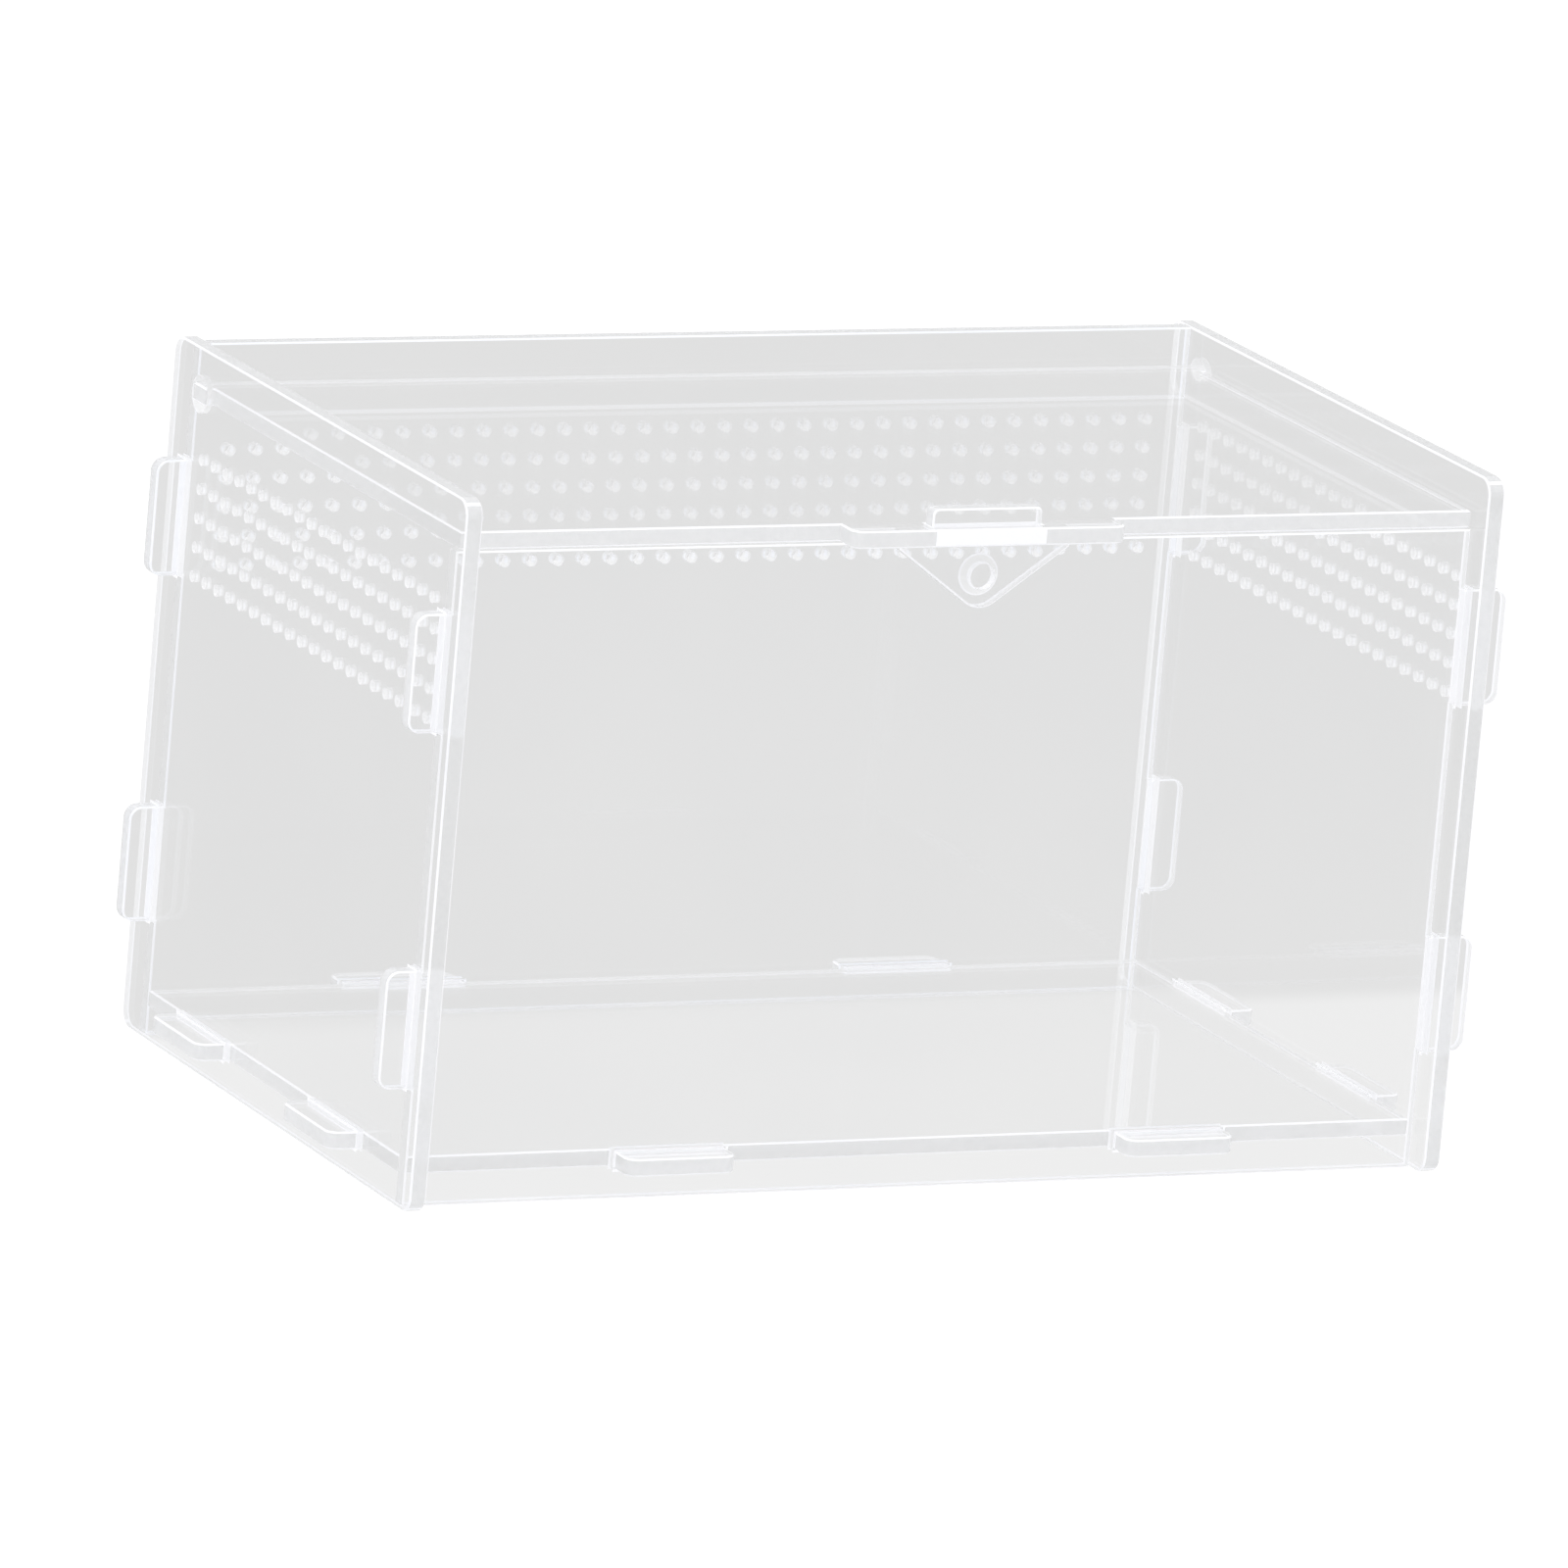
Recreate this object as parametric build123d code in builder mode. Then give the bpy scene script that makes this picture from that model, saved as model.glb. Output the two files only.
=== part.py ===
import os

from build123d import *

# Reptile breeding box of clear sheet, in millimetres.
# X runs along the box, Y from front to back and Z up. The origin is under the middle of the box.

# Overall sizes, over the outer faces and edges of the two side panels
sheet = 3.0
box_length = 190.0
box_depth = 120.0
box_height = 120.0
panel_corner = 3.0

# Narrow flats that break every edge of the sheets' main faces, apart from those of the round holes
arris = 0.3

# The front and back panels stand this far inside the side panels' upright edges
panel_inset = 5.0

# Tabs that pass through the slots of the neighbouring panel, and the gap left at each butt joint
tab_width = 20.0
tab_reach = 5.0
tab_corner = 2.2
slot_clearance = 0.1
joint_gap = 0.05
floor_height = 5.0

# Ventilation holes in the side panels and the back panel
vent_diameter = 2.0
vent_pitch = 5.0
vent_rows = 5
side_vent_columns = 20
back_vent_columns = 35
vent_middle_drop = 28.5
side_vent_shift = 1.8

# Lid and its hinge, which is a rectangular ear turning in a round hole of each side panel
lid_side_gap = 0.5
lid_seat_gap = 0.3
pivot_drop = 7.8
pivot_from_rear = 11.6
pivot_clearance = 0.3
ear_width = 5.0

# Tongue on the lid's front edge
tongue_width = 50.0
tongue_reach = 5.5
tongue_corner = 2.0

# Pull plate that hangs under the tongue, with a hole flared at the back
pull_gap = 0.5
pull_width = 31.0
pull_shoulder = 0.8
pull_apex_drop = 12.0
pull_tip_radius = 4.5
pull_tab_rise = 3.0
pull_tab_corner = 1.0
pull_hole_diameter = 4.4
pull_hole_drop = 5.6
pull_flare = 1.4

# Faces and centres that follow from the sizes above
half_length = box_length / 2
half_depth = box_depth / 2
inner_half_length = half_length - sheet
panel_width = 2 * (inner_half_length - joint_gap)
panel_outer = half_depth - panel_inset
panel_inner = panel_outer - sheet
panel_middle = panel_outer - sheet / 2
tabbed_length = 2 * (half_length + tab_reach)
tabbed_depth = 2 * (panel_outer + tab_reach)
slot_length = tab_width + 2 * slot_clearance
slot_opening = sheet + 2 * slot_clearance
floor_depth = 2 * (panel_inner - joint_gap)
vent_middle_height = box_height - vent_middle_drop

# Tabs stand at a quarter and at three quarters of each edge
upright_tab_heights = [box_height / 4, 3 * box_height / 4]
floor_tab_height = floor_height + sheet / 2
floor_tab_x = inner_half_length / 2
floor_tab_y = panel_outer / 2

# Lid levels, hinge line and front edge
pivot_height = box_height - pivot_drop
lid_bottom = pivot_height - sheet / 2
lid_top = pivot_height + sheet / 2
front_panel_height = lid_bottom - lid_seat_gap
pivot_y = half_depth - pivot_from_rear
ear_diagonal = (ear_width**2 + sheet**2) ** 0.5
pivot_hole_radius = ear_diagonal / 2 + pivot_clearance
lid_front = -panel_outer
lid_rear = pivot_y + ear_width / 2
lid_length = 2 * (inner_half_length - lid_side_gap)
lid_depth = lid_rear - lid_front
pull_back_face = panel_outer + pull_gap
pull_slot_y = -(pull_back_face + sheet / 2)
pull_half_width = pull_width / 2
pull_top = lid_bottom - joint_gap
pull_shoulder_height = lid_bottom - pull_shoulder
pull_tab_top = lid_top + pull_tab_rise


def outline_edges(part, across):
    """Edges of a sheet's two main faces, apart from its round holes."""
    return part.faces().filter_by(across).edges().filter_by(lambda edge: not edge.is_closed)


os.makedirs("parts", exist_ok=True)

# Floor, with two tabs on each of its four edges
with BuildPart() as floor:
    with BuildSketch(Plane.XY.offset(floor_height)):
        Rectangle(panel_width, floor_depth)
        with GridLocations(2 * floor_tab_x, 0, 2, 1):
            RectangleRounded(tab_width, tabbed_depth, tab_corner)
        with GridLocations(0, 2 * floor_tab_y, 1, 2):
            RectangleRounded(tabbed_length, tab_width, tab_corner)
    extrude(amount=sheet)
    chamfer(outline_edges(floor, Axis.Z), arris)
floor.part.label = "floor"
export_step(floor.part, "parts/floor.step")

# Front panel, on which the closed lid rests
with BuildPart() as front_panel:
    with BuildSketch(Plane.XZ.offset(panel_inner)):
        with Locations((0, front_panel_height / 2)):
            Rectangle(panel_width, front_panel_height)
        for height in upright_tab_heights:
            with Locations((0, height)):
                RectangleRounded(tabbed_length, tab_width, tab_corner)
        with Locations((0, floor_tab_height)):
            with GridLocations(2 * floor_tab_x, 0, 2, 1):
                Rectangle(slot_length, slot_opening, mode=Mode.SUBTRACT)
    extrude(amount=sheet)
    chamfer(outline_edges(front_panel, Axis.Y), arris)
front_panel.part.label = "front_panel"
export_step(front_panel.part, "parts/front_panel.step")

# Back panel, as tall as the side panels, with the ventilation holes across its upper part
with BuildPart() as back_panel:
    with BuildSketch(Plane.XZ.offset(-panel_outer)):
        with Locations((0, box_height / 2)):
            Rectangle(panel_width, box_height)
        for height in upright_tab_heights:
            with Locations((0, height)):
                RectangleRounded(tabbed_length, tab_width, tab_corner)
        with Locations((0, floor_tab_height)):
            with GridLocations(2 * floor_tab_x, 0, 2, 1):
                Rectangle(slot_length, slot_opening, mode=Mode.SUBTRACT)
        with Locations((0, vent_middle_height)):
            with GridLocations(vent_pitch, vent_pitch, back_vent_columns, vent_rows):
                Circle(vent_diameter / 2, mode=Mode.SUBTRACT)
    extrude(amount=sheet)
    chamfer(outline_edges(back_panel, Axis.Y), arris)
back_panel.part.label = "back_panel"
export_step(back_panel.part, "parts/back_panel.step")

# Outline of both side panels, drawn with the depth along its X and the height along its Y
with BuildSketch() as side_outline:
    with Locations((0, box_height / 2)):
        RectangleRounded(box_depth, box_height, panel_corner)
    for height in upright_tab_heights:
        with Locations((0, height)):
            with GridLocations(2 * panel_middle, 0, 2, 1):
                Rectangle(slot_opening, slot_length, mode=Mode.SUBTRACT)
    with Locations((0, floor_tab_height)):
        with GridLocations(2 * floor_tab_y, 0, 2, 1):
            Rectangle(slot_length, slot_opening, mode=Mode.SUBTRACT)
    with Locations((pivot_y, pivot_height)):
        Circle(pivot_hole_radius, mode=Mode.SUBTRACT)
    with Locations((-side_vent_shift, vent_middle_height)):
        with GridLocations(vent_pitch, vent_pitch, side_vent_columns, vent_rows):
            Circle(vent_diameter / 2, mode=Mode.SUBTRACT)

with BuildPart() as left_panel:
    with BuildSketch(Plane.YZ.offset(-half_length)):
        add(side_outline.sketch_local)
    extrude(amount=sheet)
    chamfer(outline_edges(left_panel, Axis.X), arris)
left_panel.part.label = "left_panel"
export_step(left_panel.part, "parts/left_panel.step")

with BuildPart() as right_panel:
    with BuildSketch(Plane.YZ.offset(inner_half_length)):
        add(side_outline.sketch_local)
    extrude(amount=sheet)
    chamfer(outline_edges(right_panel, Axis.X), arris)
right_panel.part.label = "right_panel"
export_step(right_panel.part, "parts/right_panel.step")

# Lid, with an ear at each end of its rear edge and a slotted tongue at the front
with BuildPart() as lid:
    with BuildSketch(Plane.XY.offset(lid_bottom)):
        with Locations((0, lid_front + lid_depth / 2)):
            Rectangle(lid_length, lid_depth)
        with Locations((0, pivot_y)):
            Rectangle(box_length, ear_width)
        with Locations((0, lid_front)):
            RectangleRounded(tongue_width, 2 * tongue_reach, tongue_corner)
        with Locations((0, pull_slot_y)):
            Rectangle(slot_length, slot_opening, mode=Mode.SUBTRACT)
    extrude(amount=sheet)
    chamfer(outline_edges(lid, Axis.Z), arris)
lid.part.label = "lid"
export_step(lid.part, "parts/lid.step")

# Pull plate: a rounded triangle under the tongue, with its tab standing up through the slot
with BuildPart() as pull_plate:
    with BuildSketch(Plane.XZ.offset(pull_back_face)):
        with BuildLine():
            Polyline(
                (-pull_half_width, pull_top),
                (-pull_half_width, pull_shoulder_height),
                (0, lid_bottom - pull_apex_drop),
                (pull_half_width, pull_shoulder_height),
                (pull_half_width, pull_top),
                close=True,
            )
        triangle = make_face()
        fillet(triangle.vertices().sort_by(Axis.Y)[0], pull_tip_radius)
        with Locations((0, (pull_shoulder_height + pull_tab_top) / 2)):
            RectangleRounded(tab_width, pull_tab_top - pull_shoulder_height, pull_tab_corner)
        with Locations((0, lid_bottom - pull_hole_drop)):
            Circle(pull_hole_diameter / 2, mode=Mode.SUBTRACT)
    extrude(amount=sheet)
    chamfer(outline_edges(pull_plate, Axis.Y), arris)
    hole_rims = pull_plate.edges().filter_by(GeomType.CIRCLE)
    chamfer(hole_rims.filter_by(lambda edge: edge.is_closed).sort_by(Axis.Y)[-1], pull_flare)
pull_plate.part.label = "pull_plate"
export_step(pull_plate.part, "parts/pull_plate.step")
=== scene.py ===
import math

import bpy
from mathutils import Matrix, Vector

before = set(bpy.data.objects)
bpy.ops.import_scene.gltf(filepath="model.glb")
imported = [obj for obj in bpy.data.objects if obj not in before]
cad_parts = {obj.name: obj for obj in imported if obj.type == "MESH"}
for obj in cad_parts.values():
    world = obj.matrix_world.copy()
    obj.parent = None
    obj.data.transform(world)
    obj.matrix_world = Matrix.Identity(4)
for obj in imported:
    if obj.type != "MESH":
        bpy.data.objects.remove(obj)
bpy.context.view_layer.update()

scene = bpy.context.scene

# Camera: the photograph's view, in metres, from a fit of the box's edges in the picture
CAMERA_AZIMUTH = math.radians(-26.345)
CAMERA_ELEVATION = math.radians(13.658)
CAMERA_ROLL = math.radians(5.043)
CAMERA_DISTANCE = 2.972577
CAMERA_OFF_RIGHT = 0.004044
CAMERA_OFF_UP = 0.005006
CAMERA_AIM = Vector((0.0, 0.0, 0.060))
CAMERA_NEAR = 0.1
CAMERA_FAR = 50.0
SENSOR_WIDTH = 36.0
FOCAL_PIXELS = 18075.456
PICTURE_WIDTH = 1600.0

# Lamp: a soft rectangle above and to the left, aimed at the middle of the box
LAMP_PLACE = Vector((-0.7, -0.5, 1.2))
LAMP_AIM = Vector((0.0, 0.0, 0.06))
LAMP_WIDTH = 0.9
LAMP_DEPTH = 0.6
LAMP_POWER = 2.0

# Table and surroundings. The tones are what shows through the sheets and in their reflections
TABLE_HALF = 3.0
TABLE_DROP = 0.0002
NEAR_TONE = 0.86
FAR_TONE = 0.753
CEILING_TONE = 1.1
TABLE_EDGE_Y = 0.053
TABLE_EDGE_BLUR = 0.006
CEILING_SLOPES = (0.30, 0.50)
ROOM_LIGHT = 1.15
TABLE_COLOR = (0.9, 0.9, 0.9, 1.0)
BACKDROP_GLOW = 0.61
BACKDROP_COLOR = (0.42, 0.42, 0.42, 1.0)

# Colours of the sheets
WHITE = (1.0, 1.0, 1.0, 1.0)
FACE_COLOR = (0.988, 0.989, 0.99, 1.0)
EDGE_COLORS = ((0.69, 0.695, 0.705, 1.0), (0.77, 0.773, 0.78, 1.0))
EDGE_GLOW = (0.80, 0.805, 0.815, 1.0)
HOLE_COLOR = (0.79, 0.793, 0.80, 1.0)
# These three colours are painted highlights, mixed by haze: the white arris lines, the joints painted
# white, and the pale marks in the holes
HIGHLIGHT_PAINT_COLOR = (0.94, 0.94, 0.95, 1.0)
PALE = (0.83, 0.84, 0.885, 1.0)
COOL = (0.76, 0.79, 0.87, 1.0)

# Surface of the sheets: noise scales, roughness from smooth to rough, and see-through shares
ACRYLIC_IOR = 1.49
GRAIN_SCALE = 900.0
HAZE_SCALE = 35.0
SMUDGE_SCALE = 14.0
FINE_DETAIL = 3.0
SOFT_DETAIL = 2.0
SMUDGE_RANGE = (0.35, 0.65)
FACE_ROUGHNESS = (0.0, 0.015)
EDGE_ROUGHNESS = (0.10, 0.24)
GRAIN_BUMP = 0.25
GRAIN_HEIGHT = 0.0002
EDGE_CLEAR = 0.4
JOINT_CLEAR = 0.1
FROST = 0.9

# Light that passes a sheet in shadows and soft light, and the bounce after which a ray goes straight on
PASSING_SHARE = 0.985
LAST_BOUNCE = 9.5

# How squarely a point faces the sheet's axis: the main faces from the first pair on, the arris flats from
# the second
FACE_SLOPES = (0.85, 0.97)
ARRIS_SLOPES = (0.15, 0.35)

# Places on the sheets, in the CAD's metres. An area is an axis with its least and greatest distance
ANY_LEAST = -1.0
ANY_MOST = 1.0
SIDE_MIDDLE = 0.0935
BACK_MIDDLE = 0.0535
END_JOINTS = [("X", 0.0921, 0.0951)]
FLOOR_JOINTS = END_JOINTS + [("Y", 0.0521, 0.0551)]
PULL_JOINTS = [("Z", 0.1107, 0.1137)]
INSIDE_RIM_HEIGHTS = ("Z", 0.0005, 0.1195)
UPRIGHT_RIMS = ("Y", 0.0592, ANY_MOST)
VENT_HEIGHTS = ("Z", 0.0795, 0.1035)
SIDE_VENTS = ("Y", ANY_LEAST, 0.0511)
BACK_VENTS = ("X", ANY_LEAST, 0.0880)
VENT_ROW = 0.0915
VENT_PITCH = 0.005
SPOT_DEPTHS = (0.0004, 0.0009)
SPOT_HEIGHTS = (0.0004, 0.0008)
RING_DEPTHS = (0.0011, 0.0014)
RING_SHARE = 0.45
HINGE_Y = 0.0484
HINGE_Z = 0.1122
HINGE_REACH = 0.0036
TONGUE_Y = -0.05
TONGUE_SLOT = ("X", ANY_LEAST, 0.0101)
PULL_HOLE_Z = 0.1051
PULL_HOLE_REACH = 0.0042
PULL_INNER_RING = 0.0024
PULL_OUTER_RING = 0.0033
PULL_RING_SHARE = 0.8


def make_camera():
    azimuth, elevation, roll = CAMERA_AZIMUTH, CAMERA_ELEVATION, CAMERA_ROLL
    back = Vector((
        math.sin(azimuth) * math.cos(elevation),
        -math.cos(azimuth) * math.cos(elevation),
        math.sin(elevation),
    ))
    level_right = Vector((math.cos(azimuth), math.sin(azimuth), 0.0))
    level_up = back.cross(level_right)
    right = math.cos(roll) * level_right + math.sin(roll) * level_up
    up = math.cos(roll) * level_up - math.sin(roll) * level_right
    data = bpy.data.cameras.new("camera")
    data.sensor_width = SENSOR_WIDTH
    data.lens = FOCAL_PIXELS * SENSOR_WIDTH / PICTURE_WIDTH
    data.clip_start = CAMERA_NEAR
    data.clip_end = CAMERA_FAR
    camera = bpy.data.objects.new("camera", data)
    place = CAMERA_AIM + CAMERA_DISTANCE * back - CAMERA_OFF_RIGHT * right - CAMERA_OFF_UP * up
    turn = Matrix((right, up, back)).transposed().to_4x4()
    camera.matrix_world = Matrix.Translation(place) @ turn
    scene.collection.objects.link(camera)
    scene.camera = camera


class Nodes:
    """Adds nodes to a tree and links them in one line each."""

    def __init__(self, tree):
        self.tree = tree
        tree.nodes.clear()

    def add(self, kind, **settings):
        node = self.tree.nodes.new(kind)
        for name, value in settings.items():
            setattr(node, name, value)
        return node

    def feed(self, socket, value):
        if isinstance(value, bpy.types.NodeSocket):
            self.tree.links.new(value, socket)
        else:
            socket.default_value = value

    def math(self, operation, a, b=0.0, clamp=False):
        node = self.add("ShaderNodeMath", operation=operation, use_clamp=clamp)
        self.feed(node.inputs[0], a)
        self.feed(node.inputs[1], b)
        return node.outputs[0]

    def product(self, a, b):
        return self.math("MULTIPLY", a, b)

    def greatest(self, first, *others):
        for other in others:
            first = self.math("MAXIMUM", first, other)
        return first

    def less(self, a, b, clamp=False):
        return self.math("SUBTRACT", a, b, clamp)

    def distance(self, a, b):
        return self.math("ABSOLUTE", self.less(a, b))

    def mix(self, factor, a, b):
        node = self.add("ShaderNodeMix", data_type="FLOAT")
        self.feed(node.inputs[0], factor)
        self.feed(node.inputs[2], a)
        self.feed(node.inputs[3], b)
        return node.outputs[0]

    def mix_color(self, factor, a, b):
        node = self.add("ShaderNodeMix", data_type="RGBA")
        self.feed(node.inputs[0], factor)
        self.feed(node.inputs[6], a)
        self.feed(node.inputs[7], b)
        return node.outputs[2]

    def mix_shader(self, factor, a, b):
        node = self.add("ShaderNodeMixShader")
        self.feed(node.inputs[0], factor)
        self.feed(node.inputs[1], a)
        self.feed(node.inputs[2], b)
        return node.outputs[0]

    def ramp(self, value, ends):
        node = self.add("ShaderNodeMapRange", interpolation_type="SMOOTHSTEP")
        self.feed(node.inputs["Value"], value)
        self.feed(node.inputs["From Min"], ends[0])
        self.feed(node.inputs["From Max"], ends[1])
        return node.outputs[0]

    def fall(self, value, ends):
        return self.less(1.0, self.ramp(value, ends))

    def noise(self, vector, scale, detail):
        node = self.add("ShaderNodeTexNoise")
        self.feed(node.inputs["Vector"], vector)
        node.inputs["Scale"].default_value = scale
        node.inputs["Detail"].default_value = detail
        return node.outputs["Fac"]

    def axes(self, vector):
        node = self.add("ShaderNodeSeparateXYZ")
        self.feed(node.inputs[0], vector)
        return node.outputs

    def colored(self, kind, color):
        node = self.add(kind)
        self.feed(node.inputs["Color"], color)
        return node.outputs[0]

    def emission(self, strength):
        node = self.add("ShaderNodeEmission")
        self.feed(node.inputs["Strength"], strength)
        return node.outputs[0]

    def through(self, ray):
        """One on rays that see by reflection or through a clear sheet, but not in soft light."""
        seen = self.greatest(ray["Is Glossy Ray"], ray["Is Transmission Ray"])
        return self.less(seen, ray["Is Diffuse Ray"], clamp=True)

    def finish(self, kind, shader):
        node = self.add(kind)
        self.feed(node.inputs["Surface"], shader)


def within(n, at, area):
    """One inside the area: distance from the middle along X or Y, or height."""
    along, low, high = area
    place = at[along] if along == "Z" else n.math("ABSOLUTE", at[along])
    return n.product(n.math("GREATER_THAN", place, low), n.math("LESS_THAN", place, high))


def hole_masks(n, at, axis, middle, hole_walls):
    """Painted highlights on the hole walls: pale spots half way through the sheet at the holes' sides, and
    rings at both faces.
    """
    depth = n.distance(n.math("ABSOLUTE", at[axis]), middle)
    row = n.math("PINGPONG", n.less(at["Z"], VENT_ROW), VENT_PITCH / 2)
    middle_spot = n.product(n.fall(depth, SPOT_DEPTHS), n.fall(row, SPOT_HEIGHTS))
    ring = n.product(n.ramp(depth, RING_DEPTHS), RING_SHARE)
    return n.product(hole_walls, n.greatest(middle_spot, ring))


def plain_masks(n, at, cut, arris, joints):
    """Sheets whose tabs are frosted where they pass through the neighbouring sheet, and painted near white
    there in place of the light that gathers at the joints.
    """
    joint = n.greatest(0.0, *[within(n, at, area) for area in joints])
    return {"arris": arris, "joint": joint, "wall": 0.0, "painted_highlight": 0.0}


def back_masks(n, at, cut, arris, joints):
    masks = plain_masks(n, at, cut, arris, joints)
    vents = n.product(within(n, at, VENT_HEIGHTS), within(n, at, BACK_VENTS))
    masks["wall"] = n.product(cut, vents)
    masks["painted_highlight"] = hole_masks(n, at, "Y", BACK_MIDDLE, masks["wall"])
    return masks


def side_masks(n, at, cut, arris, joints):
    """Side panels: ventilation and hinge holes with painted highlights on their walls, and slots, which are
    the other cut faces inside the rim, painted near white as joints in place of the light that gathers
    there.
    """
    vents = n.product(within(n, at, VENT_HEIGHTS), within(n, at, SIDE_VENTS))
    hinge_reach = n.greatest(n.distance(at["Y"], HINGE_Y), n.distance(at["Z"], HINGE_Z))
    hinge = n.math("LESS_THAN", hinge_reach, HINGE_REACH)
    wall = n.product(cut, n.greatest(vents, hinge))
    rim = n.greatest(n.less(1.0, within(n, at, INSIDE_RIM_HEIGHTS)), within(n, at, UPRIGHT_RIMS))
    joint = n.product(cut, n.less(1.0, n.greatest(rim, wall), clamp=True))
    painted_highlight = hole_masks(n, at, "X", SIDE_MIDDLE, wall)
    return {"arris": arris, "joint": joint, "wall": wall, "painted_highlight": painted_highlight}


def lid_masks(n, at, cut, arris, joints):
    masks = plain_masks(n, at, cut, arris, joints)
    # Painted: a white patch in the middle of the tongue's front edge stands in for the tab seen through the
    # clear edge
    front = n.product(cut, n.math("LESS_THAN", at["Y"], TONGUE_Y))
    masks["joint"] = n.product(front, within(n, at, TONGUE_SLOT))
    return masks


def pull_masks(n, at, cut, arris, joints):
    """Pull plate: its flared hole shows as two rings, painted as highlights on the hole's wall."""
    masks = plain_masks(n, at, cut, arris, joints)
    height = n.less(at["Z"], PULL_HOLE_Z)
    radius = n.math("SQRT", n.math("ADD", n.product(at["X"], at["X"]), n.product(height, height)))
    wall = n.product(cut, n.math("LESS_THAN", radius, PULL_HOLE_REACH))
    inner = n.math("LESS_THAN", radius, PULL_INNER_RING)
    outer = n.math("GREATER_THAN", radius, PULL_OUTER_RING)
    masks["wall"] = wall
    masks["painted_highlight"] = n.product(n.product(wall, n.greatest(inner, outer)), PULL_RING_SHARE)
    masks["arris"] = n.less(arris, wall, clamp=True)
    return masks


def clear_sheet(name, axis, masks_of, joints, highlight_tint):
    """Clear acrylic whose sheet lies across one axis: polished faces and paler, finely ground cut edges,
    with painted highlights as white arris lines, white joints and pale marks in the holes.
    """
    material = bpy.data.materials.new(name)
    material.use_nodes = True
    n = Nodes(material.node_tree)
    place = n.add("ShaderNodeTexCoord").outputs
    at = n.axes(place["Object"])
    facing = n.math("ABSOLUTE", n.axes(place["Normal"])[axis])
    cut = n.fall(facing, FACE_SLOPES)
    masks = masks_of(n, at, cut, n.product(cut, n.ramp(facing, ARRIS_SLOPES)), joints)
    arris, joint, wall = masks["arris"], masks["joint"], masks["wall"]
    frosted = n.greatest(cut, n.product(joint, FROST))
    # Painted highlights: the arris flats, the joints and the marks in the holes are coloured near white
    painted_light = n.greatest(arris, joint, masks["painted_highlight"])
    grain = n.noise(place["Object"], GRAIN_SCALE, FINE_DETAIL)
    haze = n.noise(place["Object"], HAZE_SCALE, SOFT_DETAIL)
    smudge = n.ramp(n.noise(place["Object"], SMUDGE_SCALE, FINE_DETAIL), SMUDGE_RANGE)

    shader = n.add("ShaderNodeBsdfPrincipled")
    shader.inputs["IOR"].default_value = ACRYLIC_IOR
    white = n.mix_color(haze, highlight_tint, HIGHLIGHT_PAINT_COLOR)
    edge = n.mix_color(wall, n.mix_color(grain, *EDGE_COLORS), HOLE_COLOR)
    face = n.mix_color(smudge, FACE_COLOR, WHITE)
    n.feed(shader.inputs["Base Color"], n.mix_color(frosted, face, n.mix_color(painted_light, edge, white)))
    roughness = n.mix(frosted, n.mix(haze, *FACE_ROUGHNESS), n.mix(grain, *EDGE_ROUGHNESS))
    n.feed(shader.inputs["Roughness"], roughness)
    edge_clear = n.mix(n.greatest(wall, joint), EDGE_CLEAR, JOINT_CLEAR)
    clear = n.mix(arris, n.mix(frosted, 1.0, edge_clear), JOINT_CLEAR)
    n.feed(shader.inputs["Transmission Weight"], clear)
    bump = n.add("ShaderNodeBump")
    bump.inputs["Distance"].default_value = GRAIN_HEIGHT
    n.feed(bump.inputs["Height"], grain)
    n.feed(bump.inputs["Strength"], n.mix(frosted, 0.0, GRAIN_BUMP))
    n.feed(shader.inputs["Normal"], bump.outputs[0])

    # A cut face seen from inside the sheet is lit by the light that falls on it from outside; where
    # highlights are painted it is near white from inside too
    dim_glow = n.mix_color(wall, EDGE_GLOW, HOLE_COLOR)
    glow = n.colored("ShaderNodeBsdfTranslucent", n.mix_color(painted_light, dim_glow, white))
    inside = n.product(frosted, n.add("ShaderNodeNewGeometry").outputs["Backfacing"])
    seen = n.mix_shader(inside, shader.outputs[0], glow)
    ray = n.add("ShaderNodeLightPath").outputs
    late = n.math("GREATER_THAN", ray["Ray Depth"], LAST_BOUNCE)
    passes = n.greatest(ray["Is Shadow Ray"], ray["Is Diffuse Ray"], late)
    passing = n.colored("ShaderNodeBsdfTransparent", (PASSING_SHARE, PASSING_SHARE, PASSING_SHARE, 1.0))
    n.finish("ShaderNodeOutputMaterial", n.mix_shader(passes, seen, passing))
    return material


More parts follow.
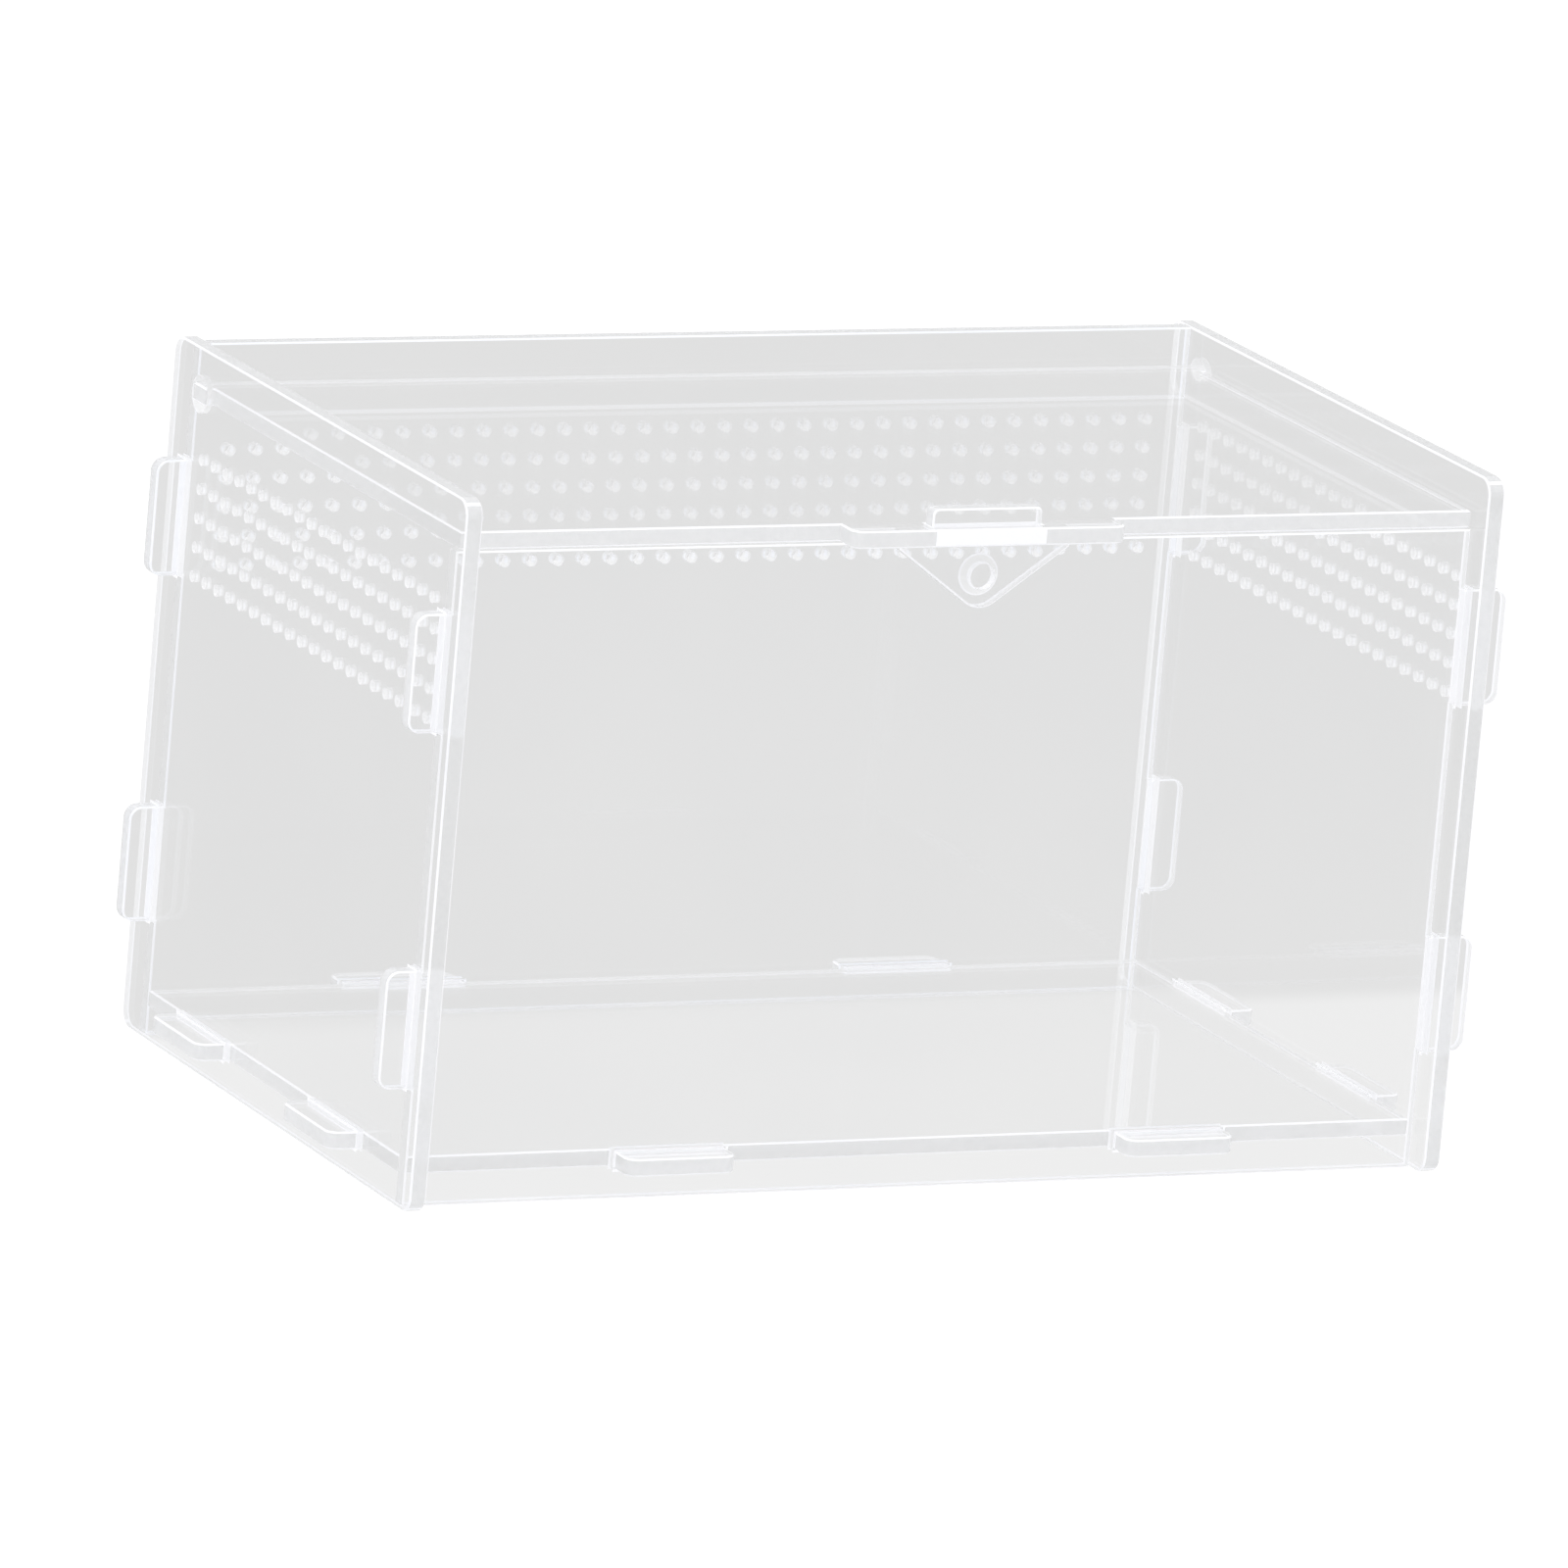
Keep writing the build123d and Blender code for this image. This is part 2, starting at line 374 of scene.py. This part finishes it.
def make_table():
    mesh = bpy.data.meshes.new("table")
    h = TABLE_HALF
    mesh.from_pydata([(-h, -h, 0.0), (h, -h, 0.0), (h, h, 0.0), (-h, h, 0.0)], [], [(0, 1, 2, 3)])
    table = bpy.data.objects.new("table", mesh)
    table.location.z = -TABLE_DROP
    scene.collection.objects.link(table)
    material = bpy.data.materials.new("table_white")
    material.use_nodes = True
    n = Nodes(material.node_tree)
    at = n.axes(n.add("ShaderNodeTexCoord").outputs["Object"])
    far = n.ramp(at["Y"], (TABLE_EDGE_Y - TABLE_EDGE_BLUR, TABLE_EDGE_Y + TABLE_EDGE_BLUR))
    seen = n.emission(n.mix(far, NEAR_TONE, FAR_TONE))
    backdrop = n.add("ShaderNodeAddShader")
    n.feed(backdrop.inputs[0], n.emission(BACKDROP_GLOW))
    n.feed(backdrop.inputs[1], n.colored("ShaderNodeBsdfDiffuse", BACKDROP_COLOR))
    ray = n.add("ShaderNodeLightPath").outputs
    lit = n.colored("ShaderNodeBsdfDiffuse", TABLE_COLOR)
    indirect = n.mix_shader(n.through(ray), lit, seen)
    surface = n.mix_shader(ray["Is Camera Ray"], indirect, backdrop.outputs[0])
    n.finish("ShaderNodeOutputMaterial", surface)
    mesh.materials.append(material)


def make_world():
    world = bpy.data.worlds.new("studio")
    scene.world = world
    world.use_nodes = True
    n = Nodes(world.node_tree)
    direction = n.axes(n.add("ShaderNodeTexCoord").outputs["Generated"])
    ceiling = n.ramp(direction["Z"], CEILING_SLOPES)
    ray = n.add("ShaderNodeLightPath").outputs
    indirect = n.mix(n.through(ray), ROOM_LIGHT, n.mix(ceiling, FAR_TONE, CEILING_TONE))
    back = n.add("ShaderNodeBackground")
    back.inputs["Color"].default_value = WHITE
    n.feed(back.inputs["Strength"], n.mix(ray["Is Camera Ray"], indirect, 1.0))
    n.finish("ShaderNodeOutputWorld", back.outputs[0])


def make_lamp():
    data = bpy.data.lights.new("softbox", "AREA")
    data.shape = "RECTANGLE"
    data.size = LAMP_WIDTH
    data.size_y = LAMP_DEPTH
    data.energy = LAMP_POWER
    lamp = bpy.data.objects.new("softbox", data)
    lamp.location = LAMP_PLACE
    lamp.rotation_euler = (LAMP_AIM - LAMP_PLACE).to_track_quat("-Z", "Y").to_euler()
    scene.collection.objects.link(lamp)


# Each sheet: the axis it lies across, its masks, the areas of its joints and the colour of its painted
# highlights, which also whiten its joints
SHEETS = {
    "floor": ("Z", plain_masks, FLOOR_JOINTS, PALE),
    "front_panel": ("Y", plain_masks, END_JOINTS, PALE),
    "back_panel": ("Y", back_masks, END_JOINTS, COOL),
    "left_panel": ("X", side_masks, [], PALE),
    "right_panel": ("X", side_masks, [], PALE),
    "lid": ("Z", lid_masks, [], PALE),
    "pull_plate": ("Y", pull_masks, PULL_JOINTS, PALE),
}

make_camera()
for node, settings in SHEETS.items():
    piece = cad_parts[node]
    piece.data.materials.clear()
    piece.data.materials.append(clear_sheet("acrylic_" + node, *settings))
make_table()
make_world()
make_lamp()

scene.cycles.max_bounces = 24
scene.cycles.transmission_bounces = 24
scene.cycles.glossy_bounces = 16
scene.cycles.diffuse_bounces = 4
scene.cycles.transparent_max_bounces = 48
scene.view_settings.view_transform = "Standard"
